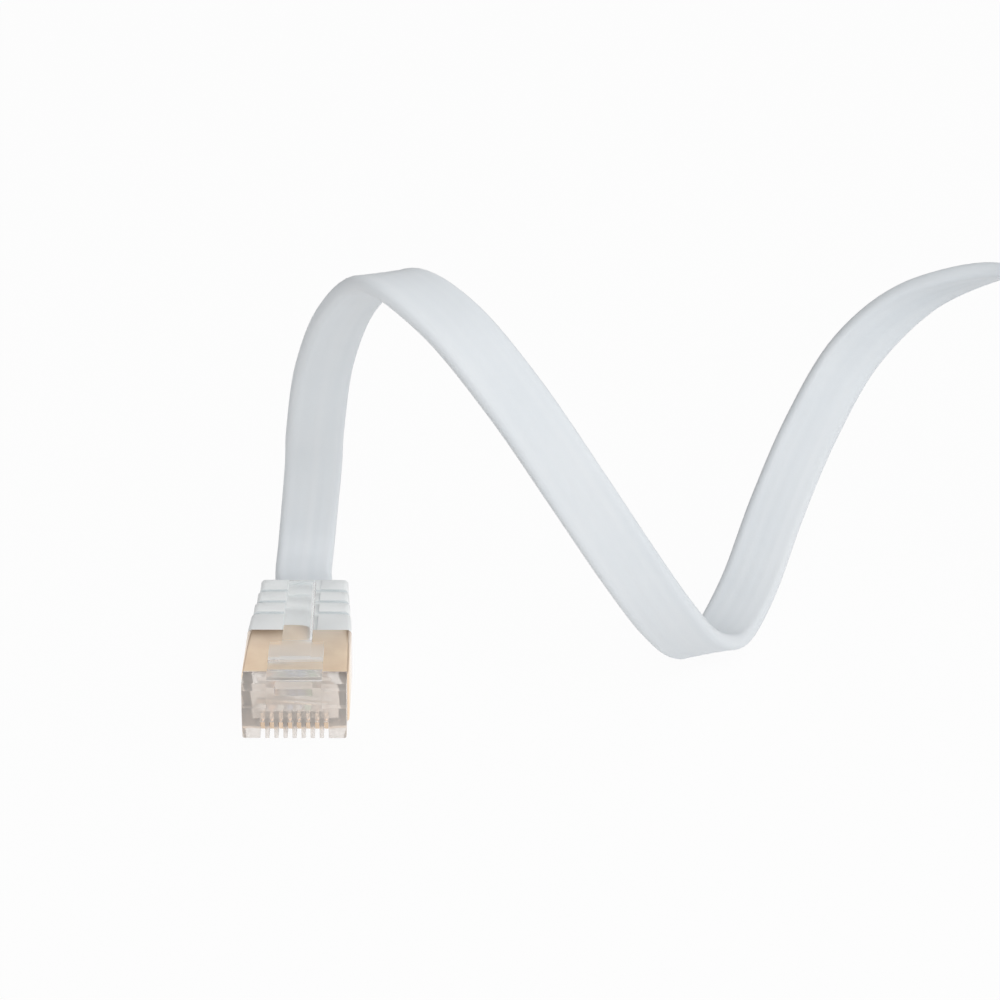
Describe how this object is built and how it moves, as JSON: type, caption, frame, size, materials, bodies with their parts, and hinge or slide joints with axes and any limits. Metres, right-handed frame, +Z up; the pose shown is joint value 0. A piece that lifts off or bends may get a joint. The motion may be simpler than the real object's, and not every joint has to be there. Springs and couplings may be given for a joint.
{
  "type": "flat ethernet patch cable",
  "caption": "Flat white ethernet patch cable with clear plugs, plated shells, sprung latches and ribbed boots; one end stands in arches, the rest is a tied coil.",
  "frame": {"origin": "centre of the near plug's outline on the surface that it lies on, with its contacts down", "axes": "+X to the plug's right seen from behind the nose, +Y from the nose towards the boot, +Z up, towards the latch"},
  "size_m": [0.1796, 0.0858, 0.0522],
  "materials": {
    "clear_plastic": "clear polycarbonate",
    "clear_latch": "clear polycarbonate, frosted shoulder",
    "plated_shell": "pale gold plating",
    "natural_plastic": "satin",
    "boot_white": "matt",
    "jacket_white": "satin",
    "strap_grey": "satin",
    "gold_contact": "gold plating",
    "wire_white_orange": "satin",
    "wire_orange": "satin",
    "wire_white_green": "satin",
    "wire_blue": "satin",
    "wire_white_blue": "satin",
    "wire_green": "satin",
    "wire_white_brown": "satin",
    "wire_brown": "satin"
  },
  "bodies": {
    "cable": {"plug_housing": "clear_plastic", "shield": "plated_shell", "load_bar": "natural_plastic", "boot": "boot_white", "contact_1": "gold_contact", "contact_2": "gold_contact", "contact_3": "gold_contact", "contact_4": "gold_contact", "contact_5": "gold_contact", "contact_6": "gold_contact", "contact_7": "gold_contact", "contact_8": "gold_contact", "wire_1": "wire_white_orange", "wire_2": "wire_orange", "wire_3": "wire_white_green", "wire_4": "wire_blue", "wire_5": "wire_white_blue", "wire_6": "wire_green", "wire_7": "wire_white_brown", "wire_8": "wire_brown", "cable_run": "jacket_white", "cable_coil": "jacket_white", "cable_tail": "jacket_white", "coil_tie": "strap_grey", "far_plug_housing": "clear_plastic", "far_shield": "plated_shell", "far_load_bar": "natural_plastic", "far_boot": "boot_white", "far_contact_1": "gold_contact", "far_contact_2": "gold_contact", "far_contact_3": "gold_contact", "far_contact_4": "gold_contact", "far_contact_5": "gold_contact", "far_contact_6": "gold_contact", "far_contact_7": "gold_contact", "far_contact_8": "gold_contact", "far_wire_1": "wire_white_orange", "far_wire_2": "wire_orange", "far_wire_3": "wire_white_green", "far_wire_4": "wire_blue", "far_wire_5": "wire_white_blue", "far_wire_6": "wire_green", "far_wire_7": "wire_white_brown", "far_wire_8": "wire_brown"},
    "near_latch": {"latch": "clear_latch"},
    "far_latch": {"far_latch": "clear_latch"}
  },
  "joints": [
    {"name": "latch_press", "type": "hinge", "parent": "cable", "child": "near_latch", "pos_m": [0, -0.0116, 0.00678], "axis": [-1, 0, 0], "range_deg": [0, 3], "stiffness_Nm_per_rad": 0.1},
    {"name": "far_latch_press", "type": "hinge", "parent": "cable", "child": "far_latch", "pos_m": [0.15807, -0.01076, 0.00604], "axis": [0, 0, -1], "range_deg": [0, 3], "stiffness_Nm_per_rad": 0.1}
  ]
}
